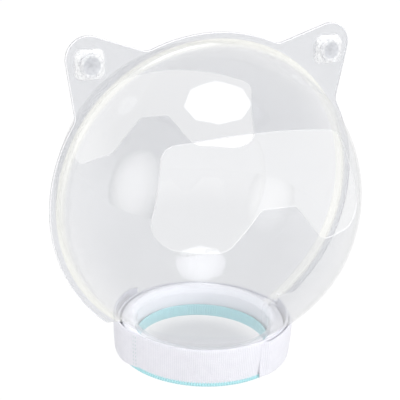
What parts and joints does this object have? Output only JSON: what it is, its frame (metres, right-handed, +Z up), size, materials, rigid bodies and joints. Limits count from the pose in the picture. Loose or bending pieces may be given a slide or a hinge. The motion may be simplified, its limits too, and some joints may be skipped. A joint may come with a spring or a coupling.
{
  "type": "elizabethan collar",
  "caption": "Clear ball-shaped protective collar with cat ears: half balls with face openings, joined by ear press studs and a padded hook-and-loop neck strap.",
  "frame": {"origin": "centre of the collar's lower face, on the neck's axis and on the plane where the two halves meet", "axes": "+Z up through the top of the ball, -Y out of the front half's face opening, +X to the right as seen from the front"},
  "size_m": [0.1828, 0.17, 0.1878],
  "materials": {
    "clear_sheet": "clear thermoformed sheet, glossy, faintly cool",
    "clear_snap": "clear moulded resin, slightly cloudy",
    "white_loop": "white brushed loop tape, matt",
    "white_hook": "white nylon hook tape",
    "white_foam": "white soft foam strip, matt",
    "teal_knit": "pale teal ribbed knit binding, matt"
  },
  "bodies": {
    "front_half": {"front_shell": "clear_sheet", "front_left_snap_cap": "clear_snap", "front_left_snap_socket": "clear_snap", "front_right_snap_cap": "clear_snap", "front_right_snap_stud": "clear_snap", "front_edge_binding": "teal_knit", "front_foam_pad": "white_foam", "front_strap": "white_loop"},
    "rear_half": {"rear_shell": "clear_sheet", "rear_left_snap_cap": "clear_snap", "rear_left_snap_stud": "clear_snap", "rear_right_snap_cap": "clear_snap", "rear_right_snap_socket": "clear_snap", "rear_edge_binding": "teal_knit", "rear_foam_pad": "white_foam", "rear_strap": "white_loop"},
    "front_tail": {"front_strap_tail": "white_loop", "front_hook_patch": "white_hook"},
    "rear_tail": {"rear_strap_tail": "white_loop", "rear_hook_patch": "white_hook"}
  },
  "joints": [
    {"name": "rear_pull", "type": "slide", "parent": "front_half", "child": "rear_half", "axis": [0, 1, 0], "range_m": [0, 0.06]},
    {"name": "front_tail_peel", "type": "hinge", "parent": "front_half", "child": "front_tail", "pos_m": [-0.0522, 0, 0.0118], "axis": [0, 0, 1], "range_deg": [0, 80]},
    {"name": "rear_tail_peel", "type": "hinge", "parent": "rear_half", "child": "rear_tail", "pos_m": [0.0522, 0, 0.0118], "axis": [0, 0, 1], "range_deg": [0, 80]}
  ],
  "couplings": [
    {"joint": "front_tail_peel", "follows": "rear_pull", "rad_per_m": 22},
    {"joint": "rear_tail_peel", "follows": "rear_pull", "rad_per_m": 22}
  ]
}
